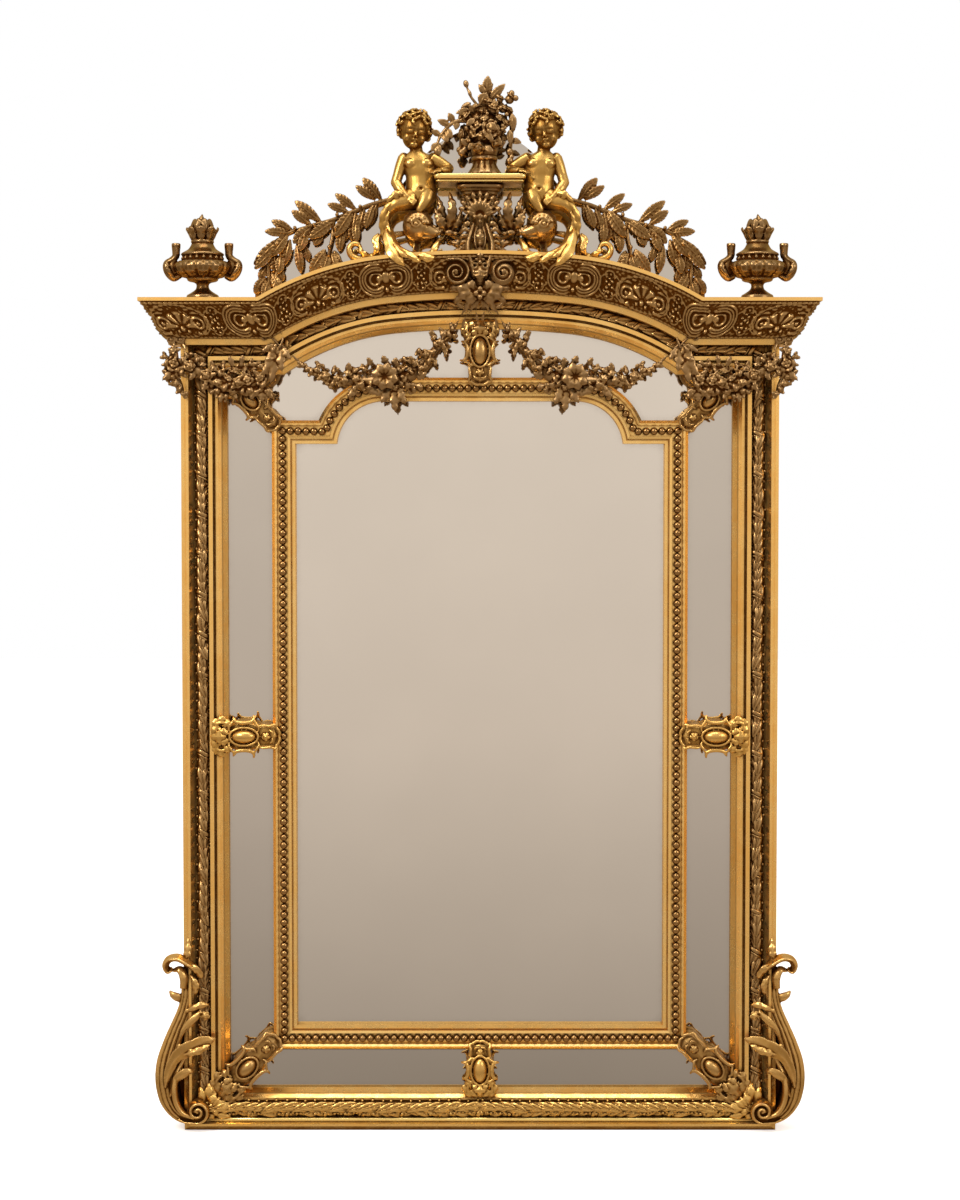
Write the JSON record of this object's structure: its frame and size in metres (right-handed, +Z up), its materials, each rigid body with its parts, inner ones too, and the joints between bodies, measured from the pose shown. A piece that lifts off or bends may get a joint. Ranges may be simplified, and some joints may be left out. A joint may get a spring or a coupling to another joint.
{
  "type": "giltwood mirror",
  "caption": "Tall giltwood mirror with beaded inner frame, arched carved cornice, flower swags, finial urns and a crest of two putti beside a vase of flowers.",
  "frame": {"origin": "on the floor under the middle of the frame, half way through its depth", "axes": "+Z up, +X to the right seen from the front, -Y towards the viewer, +Y the wall"},
  "size_m": [1.334, 0.173, 2.0999],
  "materials": {
    "gilding": "burnished water gilding, worn",
    "antique_gilding": "matt toned gilding",
    "bronze_gilding": "dark bronzed gilding",
    "mirror_glass": "old silvered plate",
    "pine": "aged, unpainted",
    "iron": "black",
    "steel": "dull"
  },
  "bodies": {
    "root": {"back_head": "pine", "back_rail_bottom": "pine", "back_stile_left": "pine", "back_stile_right": "pine", "backboard": "pine", "beads_bottom": "gilding", "beads_sides": "gilding", "beads_top": "gilding", "bouquet": "bronze_gilding", "clasp_bottom": "gilding", "clasp_foot_left": "gilding", "clasp_foot_right": "gilding", "clasp_head_left": "gilding", "clasp_head_right": "gilding", "clasp_left": "gilding", "clasp_right": "gilding", "clasp_top": "gilding", "cornice_arch": "antique_gilding", "cornice_left": "antique_gilding", "cornice_right": "antique_gilding", "crest_board": "pine", "crest_scroll_left": "gilding", "crest_scroll_right": "gilding", "hanger_screws": "steel", "hangers": "iron", "head_arch": "gilding", "head_left": "gilding", "head_right": "gilding", "inner_head": "gilding", "inner_rail_bottom": "gilding", "inner_stile_left": "gilding", "inner_stile_right": "gilding", "knot": "bronze_gilding", "laurel_left": "antique_gilding", "laurel_right": "antique_gilding", "ledge": "gilding", "pedestal": "antique_gilding", "plate_bottom_left": "mirror_glass", "plate_bottom_right": "mirror_glass", "plate_centre": "mirror_glass", "plate_crest": "mirror_glass", "plate_lower_left": "mirror_glass", "plate_lower_right": "mirror_glass", "plate_top_left": "mirror_glass", "plate_top_right": "mirror_glass", "plate_upper_left": "mirror_glass", "plate_upper_right": "mirror_glass", "putto_left": "gilding", "putto_right": "gilding", "rail_bottom": "gilding", "scroll_foot_left": "gilding", "scroll_foot_right": "gilding", "stile_left": "gilding", "stile_right": "gilding", "swag_inner_left": "bronze_gilding", "swag_inner_right": "bronze_gilding", "swag_outer_left": "bronze_gilding", "swag_outer_right": "bronze_gilding", "urn_left": "antique_gilding", "urn_right": "antique_gilding"}
  },
  "joints": []
}
